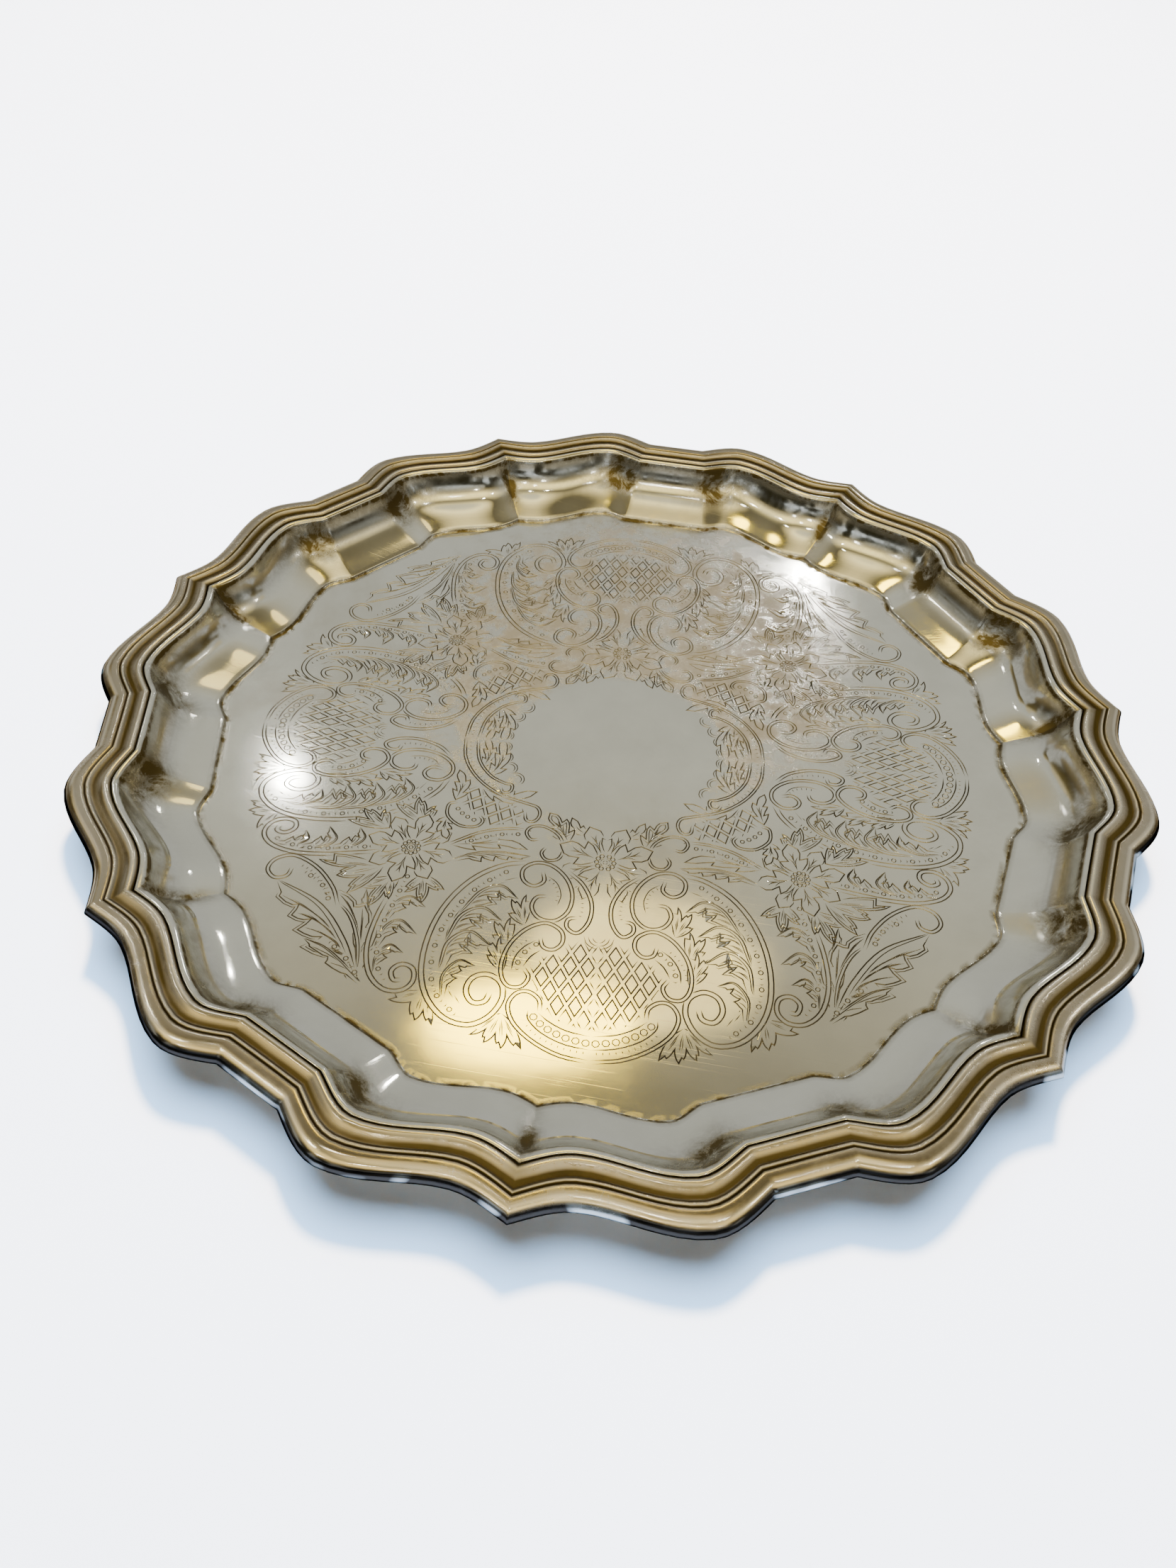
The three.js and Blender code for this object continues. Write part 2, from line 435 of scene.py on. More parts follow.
def plated(name, brass_share, haze_centre=None, reads_tarnish_and_shade=True, gloss=0.055, tarnish_and_shade_noise=(110, 9, 0.75, 0.4),
           least_kept=0.2, swell_strength=0.1, edge_tint=(1, 1, 1)):
    """Silver plate worn through to brass, with tarnish and painted shade, fine scratches and a hazy film.

    The noise after gloss breaks up the tarnish and painted shade, and the share after that noise is how much
    of them the sparest patches keep.
    """
    surface, tree, shader, place = new_material(name)
    scratch = fine_scratches(tree, place)
    haze = hazy_film(tree, place, haze_centre)
    metal = tree.mixed(tree.times(haze, 0.8, clamp=True), worn_plate(tree, place, brass_share), FILM)
    wear = [tree.times(scratch, SCRATCH_ROUGHNESS), gloss]
    if haze_centre is not None:
        wear.append(floor_wear(tree, place))
    if reads_tarnish_and_shade:
        metal, dirt_and_shade = wear_tarnish_and_painted_light(tree, place, metal, tarnish_and_shade_noise, least_kept)
        wear.append(tree.times(dirt_and_shade, DIRT_ROUGHNESS))
    rough = tree.times(haze, HAZE_ROUGHNESS)
    for more in wear:
        rough = tree.calculate("ADD", rough, more)

    swell_inputs = {"Strength": swell_strength, "Distance": 0.0005, "Height": tree.noise(place, 38, 2)}
    swell = tree.add("Bump", swell_inputs).outputs[0]
    mark_inputs = {"Strength": 0.03, "Distance": 0.00005, "Height": scratch, "Normal": swell}
    marks = tree.add("Bump", mark_inputs, invert=True).outputs[0]
    inputs = {"Base Color": metal, "Metallic": 1.0, "Roughness": rough, "Specular Tint": edge_tint}
    inputs["Normal"] = marks
    for key, value in inputs.items():
        tree.put(shader.inputs[key], value)
    return surface


def groove_metal(name):
    """The cut lines of the chasing: metal darkened by tarnish that polishing doesn't reach."""
    surface, tree, shader, place = new_material(name)
    shader.inputs["Metallic"].default_value = 1.0
    colour = tree.patches(place, (90, 5), (0.35, GROOVE_DARK), (0.7, GROOVE_LIGHT))
    tree.put(shader.inputs["Base Color"], colour)
    tree.put(shader.inputs["Roughness"], tree.patches(place, (140, 3), (0.3, 0.22), (0.7, 0.42)))
    return surface


def pale_top(name):
    surface, tree, shader, place = new_material(name)
    shader.inputs["Roughness"].default_value = 0.35
    tree.put(shader.inputs["Base Color"], tree.patches(place, (3,), (0.3, TABLE_DARK), (0.7, TABLE_LIGHT)))
    return surface


# --- The chased pattern ---
# Drawn in one quarter, in hundredths of RIM_RADIUS, with x and -y running out along the pattern's two axes,
# then mirrored into the others. What lies in front is drawn first, and masks what is drawn after it.

PATTERN_UNIT = RIM_RADIUS / 100
PATTERN_TURN = math.radians(5.4)

# In millimetres.
FINE, BOLD = 0.28, 0.39  # widths of the cut lines
FLOOR_RADIUS = 120  # to the floor's edge, roughly
EDGE_STAIN = 1.6  # how far the tarnish at the floor's edge spreads over the floor
SAMPLE_STEP = 0.12  # between the places where a cut's width is noted
SHALLOWEST_CUT = 0.01
GROOVE_SLOPE = 0.42  # depth over width

# In pattern units.
LINE_GAP = 0.62  # between the two lines of a scroll's stem
DOUBLED = 0.5  # between a leaf's outline and the second line inside it
TICK_SPACING = 1.05
SHORTEST_CUT = 0.5  # crumbs left over behind a mask are shorter than this
SHAPE_TOLERANCE = 0.024  # how far a cut may stray from the line as drawn
LONGEST_STEP = 3.4

strokes = []  # (points, width in millimetres)
masks = []  # (outline, lowest corner, highest corner)


def lengths_along(p):
    return np.concatenate([[0], np.cumsum(np.linalg.norm(np.diff(p, axis=0), axis=1))])


def resampled(p, step):
    """The line's points moved to even steps along it."""
    p = np.asarray(p, float)
    along = lengths_along(p)
    n = max(2, int(round(along[-1] / step)) + 1)
    stops = np.linspace(0, along[-1], n)
    return np.stack([np.interp(stops, along, p[:, i]) for i in (0, 1)], 1)


def curve(points, step=0.55):
    p = smooth(points, 12) if len(points) > 2 else np.array(points, float)
    return resampled(p, step)


def directions(p):
    """Unit vectors along a line and to its left, at each of its points."""
    along = unit(np.gradient(p, axis=0))
    return along, left_of(along)


def beside(p, gap):
    """The line a gap to the left of p."""
    return p + directions(p)[1] * gap


def at(line, t):
    """The point a share t of the way along a line."""
    x = min(max(t, 0), 1) * (len(line) - 1)
    i = min(int(x), len(line) - 2)
    return line[i] + (line[i + 1] - line[i]) * (x - i)


def bezier(a, b, c, d, steps=8):
    t = np.linspace(0, 1, steps + 1)[:, None]
    return (1 - t) ** 3 * a + 3 * (1 - t) ** 2 * t * b + 3 * (1 - t) * t**2 * c + t**3 * d


def circle(centre, radius, steps=12):
    a = np.linspace(0, 2 * math.pi, steps + 1)
    return np.array(centre) + radius * np.stack([np.cos(a), np.sin(a)], 1)


def inside(points, outline):
    x, y = points[:, 0][:, None], points[:, 1][:, None]
    x0, y0 = outline[:, 0], outline[:, 1]
    x1, y1 = np.roll(x0, -1), np.roll(y0, -1)
    crosses = (y0 > y) != (y1 > y)
    with np.errstate(divide="ignore", invalid="ignore"):
        cut = x0 + (y - y0) / (y1 - y0) * (x1 - x0)
    return (crosses & (x < cut)).sum(1) % 2 == 1


def mask(outline):
    outline = np.asarray(outline, float)
    masks.append((outline, outline.min(0), outline.max(0)))


def draw(points, width=FINE, region=None, step=0.5):
    """Cuts a line, leaving out what lies behind a mask, outside the region or outside the quarter.

    A step of 0 keeps the points as they are, for shapes with sharp corners.
    """
    p = resampled(points, step) if step else np.asarray(points, float)
    shown = (p[:, 0] > -0.02) & (p[:, 1] < 0.02)
    if region is not None and shown.any():
        shown &= inside(p, region)
    low, high = p.min(0), p.max(0)
    for outline, mask_low, mask_high in masks:
        if shown.any() and (low < mask_high).all() and (high > mask_low).all():
            shown &= ~inside(p, outline)
    changes = np.where(np.diff(shown.astype(int)) != 0)[0] + 1
    for run in np.split(np.arange(len(p)), changes):
        if shown[run[0]] and len(run) > 1 and lengths_along(p[run])[-1] > SHORTEST_CUT:
            strokes.append((p[run], width))


def cornered(points, step=0.45):
    """Straight runs between the points, split finely enough to be hidden in part, with the corners kept."""
    runs = [resampled([a, b], step)[:-1] for a, b in zip(points, points[1:])]
    return np.vstack(runs + [points[-1:]])


def draw_cornered(points, width=FINE):
    draw(cornered(points), width, step=0)


def ribbon(points, gap=LINE_GAP):
    """A scroll's stem: two lines side by side."""
    p = curve(points, 0.4)
    left, right = beside(p, gap / 2), beside(p, -gap / 2)
    draw(left, BOLD)
    draw(right, BOLD)
    mask(np.vstack([left, right[::-1]]))


def tick_row(line, offset, length):
    """Short cuts square to a line, starting an offset to its left."""
    p = resampled(curve(line), TICK_SPACING)
    for root, tip in zip(beside(p, offset)[1:-1], beside(p, offset + length)[1:-1]):
        draw([root, tip], step=0)


def beads(points, radius=0.45, step=1.0, between=2):
    """Rings along a line, with small arcs between them."""
    p = resampled(smooth(points, 12), step)
    along, left = directions(p)
    for i, place in enumerate(p):
        if i % (between + 1) == 0:
            draw(circle(place, radius, 7), step=0)
            mask(circle(place, radius * 1.25, 8))
        else:
            arc = [place - left[i] * radius, place + along[i] * radius * 0.45, place + left[i] * radius]
            draw(arc, step=0)


def side_steps(p):
    """The step from each point of p to the line a unit to its left that keeps p's corners."""
    left = left_of(unit(np.diff(p, axis=0)))
    closed = np.allclose(p[0], p[-1])
    before = np.vstack([left[-1:] if closed else left[:1], left])
    after = np.vstack([left, left[:1] if closed else left[-1:]])
    both = unit(before + after)
    sharpest = 0.42  # keeps the far corner of a sharp point from running away
    return both / np.maximum((both * after).sum(1, keepdims=True), sharpest)


def mitred(p, gap):
    """The line a gap to the left of p, with p's corners kept."""
    return p + side_steps(p) * gap


# One tooth of a leaf's edge, from its notch to its corner: how far along each point is, and how far out.
TOOTH = ((0.0, 0.42), (0.3, 0.72), (0.6, 0.93), (0.92, 1.04))
# Where each vein leaves the leaf's middle, where it ends, and how far out it ends.
VEINS = ((0.05, 0.55, 0.4), (0.3, 0.72, 0.22))


def leaf_edge(spine, left, width, teeth, side):
    points = [spine[0]]
    for k in range(teeth):
        for part, share in TOOTH:
            t = (k + part) / teeth - 0.06 * (part == 0)
            if 0 < t < 0.9:
                out = side * at(left, t) * width * share
                points.append(at(spine, t) + out * math.sin(math.pi * t**0.8) ** 0.7)
    return points


def leaf(points, width, teeth=2, doubled=True):
    """A pointed leaf: a notched outline, a second line inside it if it's wide, and veins from its base."""
    spine = curve(points, 0.3)
    left = directions(spine)[1]
    edges = [leaf_edge(spine, left, width, teeth, side) for side in (1, -1)]
    outline = np.array(edges[0] + [spine[-1]] + edges[1][::-1])
    draw_cornered(outline, BOLD)
    if doubled and width >= 2.2:
        draw_cornered(mitred(outline, -DOUBLED)[2:-2])
    draw(spine[1 : int(len(spine) * 0.66)])
    vein_count = 2 if width >= 2 else 1 if width >= 1.4 else 0
    for side in (1, -1):
        for root, tip, out in VEINS[:vein_count]:
            end = at(spine, tip) + side * at(left, tip) * width * out
            bend = [at(spine, mix(root, tip, share)) for share in (0.4, 0.8)]
            draw(bezier(at(spine, root), *bend, end, 5))
    mask(outline)


def spray(base, tips, gap=None):
    """A leaf that opens from its base into lobes, with a barb behind each tip, and flow lines in each lobe.

    A gap draws a second line inside its outline.
    """
    notch, bulge, flow = 0.6, 0.14, 2
    base, tips = np.array(base, float), np.array(tips, float)
    valleys = [mix(base, (a + b) / 2, notch) for a, b in zip(tips, tips[1:])]
    lobes = list(zip(tips, [base, *valleys], [*valleys, base]))
    turn = np.sign(np.cross(tips[0] - base, tips[-1] - base))  # which way round the tips run

    def beside_step(step):
        return np.array([step[1], -step[0]]) * turn * bulge

    outline = [base]
    for tip, before, after in lobes:
        swell = beside_step(tip - before)
        bend = mix(before, tip, 0.3) + swell, mix(before, tip, 0.75) + swell
        outline += list(bezier(before, *bend, tip, 6))[1:]
        barb = beside_step(after - tip)
        share = 0.38 if after is not base else 0.22
        start = mix(tip, after, share * 0.9) + barb
        outline += [mix(tip, after, share), start]
        bend = mix(start, after, 0.3) + barb * 0.5, mix(start, after, 0.7) + barb * 0.4
        outline += list(bezier(start, *bend, after, 4))[1:]
    outline = np.array(outline)
    draw_cornered(outline, BOLD)
    if gap:
        draw_cornered(mitred(outline, gap * turn)[2:-2])
    for tip, before, after in lobes:
        for k in range(flow):
            across = (k + 0.5) / flow * 2 - 1
            beyond = mix(tip, before if across < 0 else after, abs(across) * 0.5)
            start = mix(base, beyond, 0.16 + 0.1 * (k % 2))
            end = mix(base, beyond, 0.84 - 0.12 * abs(across))
            lean = np.array([-(end - start)[1], (end - start)[0]]) * turn * across * 0.06
            draw(bezier(start, mix(start, end, 0.3) + lean, mix(start, end, 0.7) + lean, end, 6))
    mask(outline)


# One tooth of a frond: it swells to its tip and hooks back into the next notch.
HOOKED_TOOTH = ((0.0, 0.6), (0.18, 0.84), (0.5, 1.02), (0.86, 1.16), (0.9, 0.84))
FIRST_TOOTH, TEETH_SPAN = 0.2, 0.72  # where the teeth begin along a frond, and how much of it they take


def frond(points, width, side, teeth=3, flow=2):
    """A curling leaf that leaves a stem: a smooth edge, an edge of hooked teeth, and their veins."""
    edge = curve(points, 0.3)
    left = directions(edge)[1] * side
    swell = [width * math.sin(math.pi * t**0.75) ** 0.6 for t in np.linspace(0.001, 1, len(edge))]
    body = left * np.array(swell)[:, None]

    def on(t, share):
        return at(edge, t) + at(body, t) * share

    toothed = []
    for k in range(teeth):
        for part, share in HOOKED_TOOTH:
            toothed.append(on(FIRST_TOOTH + TEETH_SPAN * (k + part) / teeth, share))
    toothed = np.array([edge[0] + left[0] * width * 0.3, *toothed, edge[-1]])
    draw(edge, BOLD)
    draw(edge + body * 0.16)
    draw_cornered(toothed, BOLD)
    if width > 2.4:
        draw_cornered(mitred(toothed, DOUBLED * side)[1:-1])
    for k in range(teeth):
        for vein in range(flow):
            reach = (vein + 1) / flow
            end = FIRST_TOOTH + TEETH_SPAN * (k + 0.2 + 0.6 * reach) / teeth
            start = mix(0.05, end, 0.45)
            out = mix(0.5, 0.94, reach)
            bend = on(mix(start, end, 0.35), 0.3), on(mix(start, end, 0.75), mix(0.3, out, 0.6))
            draw(bezier(on(start, 0.24), *bend, on(end, out), 7))
    mask(np.vstack([edge, toothed[::-1]]))


def flow_lines(points, side):
    """Two rows of short shading cuts that follow a stem."""
    rib = curve(points, 0.3)
    cut, pitch, rows = 10, 14, 2  # in points of the rib
    for row in range(rows):
        line = beside(rib, side * (0.3 + 0.42 * row))
        for i in range(3 + row * pitch // rows, len(line) - 4, pitch):
            draw(line[i : i + cut])


def flower(centre, radius, turn):
    """A ring of beads round a small middle, with four petals in front of four more."""
    c = np.array(centre, float)
    for share in (0.045, 0.1):
        draw(circle(c, radius * share, 8), step=0)
    bead_count = 11
    for k in range(bead_count):
        a = 2 * math.pi * k / bead_count
        bead = c + radius * 0.17 * np.array([math.cos(a), math.sin(a)])
        draw(circle(bead, radius * 0.046, 6), step=0)
    mask(circle(c, radius * 0.22, 20))
    petals = 8
    for start, size in ((0, 1.0), (2 * math.pi / petals, 0.96)):
        for k in range(petals // 2):
            a = turn + start + 4 * math.pi * k / petals
            out = np.array([math.cos(a), math.sin(a)])
            spine = [c + out * radius * 0.14, c + out * radius * 0.55, c + out * radius * size]
            leaf(spine, radius * 0.31, 2, doubled=False)


def lattice(region, origin, across, up, turn=0.0, channel=0.36):
    """Separate diamonds with channels between them, cut off at the region's edge."""
    region = np.asarray(region, float)
    c, s = math.cos(turn), math.sin(turn)
    spin = np.array([[c, s], [-s, c]])
    half = np.array([across, up]) / 2
    clear = half[0] * half[1] / np.hypot(*half)
    diamond = np.array([(1, 0), (0, 1), (-1, 0), (0, -1), (1, 0)]) * half * (1 - channel / clear)
    reach = int(np.ptp(region, axis=0).max() / min(across, up)) + 1
    low, high = region.min(0) - half, region.max(0) + half
    for i in range(-reach, reach + 1):
        for j in range(-reach, reach + 1):
            for shift in (0, 0.5):
                middle = np.array([(i + shift) * across, (j + shift) * up]) @ spin + origin
                if (middle > low).all() and (middle < high).all():
                    draw(cornered(diamond @ spin + middle, 0.3), BOLD, region, step=0)


PINCH = 0.8  # the side groups are narrower than the lower ones, and leave room for the corner plumes


def as_lower(*points):
    return np.array(points, float)


def as_side(*points):
    """Points of the lower design turned over the diagonal to the side, and drawn in to its axis."""
    p = np.array(points, float)
    radius, away = np.hypot(p[:, 0], p[:, 1]), np.arctan2(p[:, 0], -p[:, 1]) * PINCH
    return np.stack([radius * np.cos(away), -radius * np.sin(away)], 1)


# How the lower design's points are placed, and its hand, which turning it over swaps.
GROUPS = ((as_lower, 1), (as_side, -1))


def shield(on, hand):
    """A lattice shield in its frame of scrolls and beaded bands."""
    ribbon(on((-1, -69.2), (0, -69.2), (5, -68.4), (9.5, -66.2), (12.8, -63.2), (14, -60), (12.9, -57.6),
            (10.9, -57.1), (9, -58.5), (8.7, -60.7)))
    ribbon(on((10, -46.2), (9.4, -48), (7.6, -48.4), (6.2, -46.8), (6.6, -44.4), (9.3, -43), (12.4, -44.4),
            (14.9, -47.6), (16, -51.4), (15.7, -54.6), (14.3, -56.4), (12.2, -56.2), (11.2, -54.3),
            (12.2, -52.6)))
    ribbon(on((11, -31.8), (10.6, -34), (12.4, -35.2), (14.3, -34), (14.5, -31.5), (12.3, -29.9),
            (9.3, -30.4), (6.6, -33), (5.3, -36.6), (5.8, -40.2), (8, -42.4), (10.8, -42), (12.2, -39.8),
            (11.5, -37.6), (9.7, -37.3)))
    ribbon(on((6.4, -31.4), (3.6, -34), (1.8, -38), (2, -42), (3.8, -44.6), (5.7, -43.6), (5.6, -41.8),
            (4.1, -41.4)))
    inner = on((10.2, -32.6), (8.2, -34.2), (7.3, -36.8), (7.8, -39.2))
    draw(curve(inner))
    tick_row(inner, 0.2 * hand, 0.7 * hand)
    tick_row(on((5, -33.6), (3.4, -36.6), (3, -39.8), (3.6, -42)), 0, 0.65 * hand)

    beads(on((0.8, -65.8), (4.1, -65.2), (7.6, -63.6), (9.6, -61.8)), 0.62, 1.55, 0)
    beads(on((10.6, -47.6), (12.3, -49.3), (13.2, -51.2), (13.3, -52.8)), 0.42, 1.3, 1)
    for band in (on((-1, -64.6), (0, -64.6), (4, -63.9), (7, -62.5), (9, -60.9)),
            on((-1, -67), (0, -67), (4.2, -66.4), (8, -64.7), (10.4, -62.4), (10.6, -60.6)),
            on((10.5, -46.6), (12.7, -48.4), (14, -50.8), (14.2, -53.2)),
            on((9.6, -48.6), (11.3, -50.2), (12.4, -52.4))):
        draw(curve(band), BOLD)
    tick_row(on((0, -67.4), (4.5, -66.8), (8.5, -65), (11, -62.6)), 0, -0.6 * hand)
    tick_row(on((11.4, -46.6), (13.5, -48.6), (14.7, -51.2), (14.9, -53.4)), 0, 0.6 * hand)
    across, up = (3, 5.2) if hand > 0 else (5.2, 2.7)
    ground = on((-0.5, -46.5), (2.5, -45.8), (5.2, -46.6), (7.4, -49.2), (9.6, -49.6), (11.6, -53),
            (10.6, -55.6), (11.4, -56.6), (9.2, -57.4), (8, -59), (7.8, -61.4), (3.6, -63.2), (-0.5, -63.8))
    lattice(ground, on((0, -54))[0], across, up)
    for r in (1.1, 1.9, 2.7):
        x = np.linspace(0, r, 7)
        draw(on(*np.stack([x, 0.2 * r - 45.4 - np.sqrt(r * r - x * x)], 1)))


def flanking_scrolls(on, hand):
    """The great acanthus scroll beside a shield, and the smaller one beyond it."""
    great = on((13.8, -30), (18, -31), (22.5, -34), (26, -38.5), (28.3, -44), (29.3, -50), (29, -55.5),
            (27.3, -60), (24, -63.4), (20, -64.3), (16.8, -62.4), (15.1, -59), (15.6, -55.9), (18, -54.4),
            (20.4, -55.3), (21.2, -57.8), (19.9, -60), (17.9, -59.7), (17.2, -57.9))
    second = on((35.8, -33.5), (37.3, -39.5), (38.6, -45), (39, -51), (37.7, -56), (35, -58.8), (32, -59),
            (30.2, -57.2), (30.5, -54.6), (32.5, -53.8), (34, -55.2), (33.4, -57), (32.1, -56.9))
    ribbon(great, 0.85)
    ribbon(second, 0.75)
    mask(circle(on((18.3, -58.2))[0], 3.7))
    mask(circle(on((32.2, -56.3))[0], 2.5))
    beads(on((17.5, -32.6), (22, -36.4), (25.4, -41.8), (27.4, -47.8), (27.6, -54), (26, -59),
            (22.5, -62.5)), 0.42, 1.15)
    beads(on((34.8, -35.4), (36.3, -42), (37.4, -48), (36.7, -54), (35, -57)), 0.4, 1.1)
    rib = on((14.5, -33), (19.5, -35.2), (23.6, -39.6), (26, -45), (26.4, -51), (25.2, -56.6), (22.4, -61))
    fronds = ((((25.2, -59.6), (25.6, -55.2), (23.2, -52), (20.2, -53)), 2.2),
            (((26.4, -54.2), (25.8, -48.6), (22.2, -45.8), (18, -48.8)), 3.3),
            (((26.2, -48.6), (24.4, -42.8), (20.6, -40.6), (16.8, -43.4)), 3.2),
            (((24.6, -42.4), (21.6, -37.2), (17.8, -35.6), (14.6, -38.4)), 2.9),
            (((37.2, -56), (37.2, -52.4), (35.2, -50), (32.6, -51.6)), 1.7),
            (((37.8, -50.8), (36.8, -46.4), (34.2, -44.8), (31, -47.6)), 2.2),
            (((37.2, -45.2), (35.8, -41), (33.2, -39.6), (30.4, -41.8)), 2))
    for line, width in fronds:
        frond(on(*line), width, hand, flow=1 if width < 2.5 else 2)
    flow_lines(rib, -hand)
    tufts = (((14.9, -61.6), (11, -67.8), (14.2, -68), (17, -67.2), (19.4, -66)),
            ((28, -58.6), (25.8, -64.8), (28.6, -64.2), (33.4, -60.8)),
            ((15.6, -53.6), (18.6, -50.6), (19, -47.6), (16.8, -46.6)),
            ((15.4, -48.8), (18.2, -46.4), (18.2, -43.6), (15.6, -42.6)),
            ((13, -43.8), (16, -41.6), (15.8, -38.6), (13.4, -37.4)))
    for base, *ends in tufts:
        spray(on(base)[0], on(*ends))


def corner_flower():
    """The flower in the corner between two pairs of scrolls, with its leaves and the scroll beyond them."""
    flower((35.3, -28.7), 8.3, math.radians(14))
    ribbon([(45.6, -43), (47.4, -39), (51, -35), (55.4, -32.8), (58.6, -33.8), (59.6, -36.2), (58, -38),
            (55.9, -37.4), (55.4, -35.6)])
    tick_row([(46.6, -42), (48.2, -39), (51.4, -35.8), (54.4, -34.2)], 0, -0.7)
    beads([(47.6, -41.6), (49.4, -38.6), (52.6, -36.4)], 0.42, 1.1)
    for base, *ends in (((39.4, -33.6), (44.6, -40), (47.2, -36.4), (51, -33.2)),
            ((32.2, -34.6), (28, -37.6), (31.4, -40.8), (34.6, -38.8)),
            ((37.4, -35.6), (37.2, -40.6), (40.4, -42.4), (42.6, -38.4)),
            ((33.6, -23), (39.8, -18.6), (35.8, -16.6), (32.4, -18.4)),
            ((40, -24.6), (47.8, -23.4), (45.4, -20.4), (41.6, -20.2))):
        spray(base, ends, gap=0.45)


def corner_plume():
    """The plume below the corner flower: leaves that fan out from where two scrolls part."""
    beads([(40, -56.2), (42.2, -53.4), (45.2, -50.8)], 0.42, 1.1)
    frond([(38.6, -58), (42, -54.6), (46, -51.6), (50, -50.2)], 2, -1, 2, 1)
    frond([(39.4, -57), (43, -49.6), (48.8, -42.6), (57.6, -38.2)], 5.6, -1, 4, 4)
    frond([(39.8, -55.6), (41.2, -49.6), (43.8, -44.4), (48.6, -40.4)], 3.4, 1, 3, 2)
    frond([(39.6, -54.6), (40, -49), (40, -44), (41.4, -38.8)], 1.8, -1, 2, 2)


def wreath():
    """The garland round the plain centre: flowers on one axis, beaded bands on the other, lattice between."""
    flower((0, -28.6), 9.2, math.radians(22.5))
    ribbon([(12.4, -24.3), (13.9, -24.6), (14.9, -23), (14, -21.5), (11.6, -21.3), (8.9, -23.1), (7.8, -26),
            (8.5, -28.6), (10.6, -29.1), (11.7, -27.6), (11, -26.2)], 0.5)
    ribbon([(15.7, -18), (15.3, -20), (13.8, -20.2), (12.9, -18.6), (13.5, -16.7), (16, -15.8), (21, -14.1),
            (25.6, -10.5), (28.6, -5.4), (29.4, 1)], 0.5)
    ribbon([(21, -12.4), (20.4, -13.6), (19, -13.2), (18.9, -11.5), (20.4, -11.2), (23.4, -9.4), (26, -5.4),
            (27, 1)], 0.5)
    tick_row([(21.4, -12.4), (24.6, -10), (27, -6), (28, 0)], 0, -0.75)
    ribbon([(28.4, -16.9), (30, -17.6), (29.9, -20.4), (27.4, -22.6), (24.4, -22.6), (23.2, -21.1),
            (24, -19.9)], 0.5)
    ribbon([(14, -22.3), (18.8, -22.5), (23.6, -24), (28.6, -27.2)], 0.5)
    beads([(24.9, -21), (26.8, -20), (28.2, -18.6)], 0.4, 1.2, 0)
    beads([(16.4, -23.6), (20.4, -24.2), (25.6, -26.4)], 0.38, 1)
    leaves = (([(28.2, -27.3), (23, -26.4), (18.6, -25.8), (14.4, -27)], 1.6, 3),
            ([(7, -24.6), (8.6, -21.4), (11, -17.8)], 2.2, 3),
            ([(3.6, -22.6), (5.6, -21), (6.8, -18.6)], 1.2, 2),
            ([(24.4, -12.8), (19.4, -14.8), (14, -12.8)], 1.7, 3),
            ([(23.6, -9.8), (21.6, -5.6), (22, 0.5)], 1.7, 3),
            ([(25, -7.6), (24, -4), (25.2, 0.6)], 1.4, 3),
            ([(29, -16.4), (28.2, -12.6), (29.3, -8.8)], 1.6, 3),
            ([(29.8, -20.6), (30.2, -23), (29.2, -26)], 1.5, 3))
    for spine, width, teeth in leaves:
        leaf(spine, width, teeth)
    for x, y, r in ((18.4, -10, 1.7), (19.9, -7.2, 1.6), (21, -4.4, 1.5), (21.4, -1.6, 1.4)):
        a = np.radians(np.linspace(60, 235, 7))
        for share in (1, 0.68):
            draw(np.stack([x + r * share * np.cos(a), y + r * share * np.sin(a)], 1))
    ground = [(15.6, -17.3), (21.4, -15.2), (26, -12), (28, -10.8), (27.4, -13.4), (28.2, -16.6),
            (27.2, -18.4), (23.8, -20.6), (22.8, -22), (15.4, -21.7)]
    lattice(ground, np.array([22, -18]), 3, 4, 0.35, 0.32)
    frond([(27.6, -30.6), (23.4, -28.6), (18.6, -28), (13.4, -28.6)], 2, 1, 4, 2)


def draw_pattern():
    for on, hand in GROUPS:
        shield(on, hand)
    wreath()
    corner_flower()
    for on, hand in GROUPS:
        flanking_scrolls(on, hand)
    corner_plume()


# --- The cut floor ---


def thinned(p):
    """The few points that keep a cut's shape, with at least one between its ends."""
    if len(p) == 2:
        return np.array([p[0], (p[0] + p[1]) / 2, p[1]])
    kept = [0]
    for i in range(2, len(p)):
        chord = p[i] - p[kept[-1]]
        length = max(np.linalg.norm(chord), 1e-9)
        between = p[kept[-1] + 1 : i] - p[kept[-1]]
        stray = np.abs(chord[0] * between[:, 1] - chord[1] * between[:, 0]).max() / length
        if stray > SHAPE_TOLERANCE or length > LONGEST_STEP:
            kept.append(i - 1)
    if len(kept) == 1:
        kept.append(len(p) // 2)
    return p[kept + [len(p) - 1]]


def widths_along(p, width):
    """A cut tapers to a point at each end, unless it closes on itself."""
    if np.allclose(p[0], p[-1]):
        return np.full(len(p), width)
    along = lengths_along(p) * PATTERN_UNIT
    taper = min(1.6, along[-1] / 2.2)
    return width * np.clip(np.minimum(along, along[-1] - along) / taper, 0, 1) ** 0.7


def all_quarters(p):
    """The stroke in the four quarters, turned with the pattern, in millimetres."""
    c, s = math.cos(PATTERN_TURN), math.sin(PATTERN_TURN)
    for sx in (1, -1):
        for sy in (1, -1):
            q = p * (sx, sy) * PATTERN_UNIT
            yield np.stack([q[:, 0] * c - q[:, 1] * s, q[:, 0] * s + q[:, 1] * c], 1)


